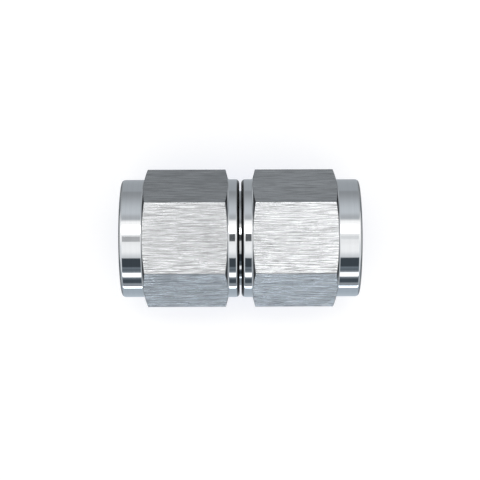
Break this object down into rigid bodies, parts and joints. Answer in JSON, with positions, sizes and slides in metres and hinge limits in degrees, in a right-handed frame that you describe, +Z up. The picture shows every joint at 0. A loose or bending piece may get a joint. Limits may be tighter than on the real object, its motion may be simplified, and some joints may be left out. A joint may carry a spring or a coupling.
{
  "type": "flare swivel union",
  "caption": "Straight swivel union for flared tube fittings: hexagon nuts held by thrust wires turn freely on a bored body with a cone seat in each end.",
  "frame": {"origin": "on the fitting's axis, halfway between its two ends", "axes": "X along the fitting's axis, towards the right-hand nut's mouth; +Z up, square to a flat of each nut; the part lies on the flats that face down"},
  "size_m": [0.05, 0.0292, 0.0254],
  "materials": {
    "nut_steel": "drawn hexagon flats with fine lines along the axis, bright turned collars",
    "body_steel": "fine turned",
    "wire_steel": "drawn wire"
  },
  "bodies": {
    "centre": {"union_body": "body_steel", "left_thrust_wire": "wire_steel", "right_thrust_wire": "wire_steel"},
    "left_swivel": {"left_nut": "nut_steel"},
    "right_swivel": {"right_nut": "nut_steel"}
  },
  "joints": [
    {"name": "left_nut_swivel", "type": "hinge", "parent": "centre", "child": "left_swivel", "pos_m": [0, 0, 0], "axis": [1, 0, 0], "continuous": true},
    {"name": "right_nut_swivel", "type": "hinge", "parent": "centre", "child": "right_swivel", "pos_m": [0, 0, 0], "axis": [1, 0, 0], "continuous": true}
  ]
}
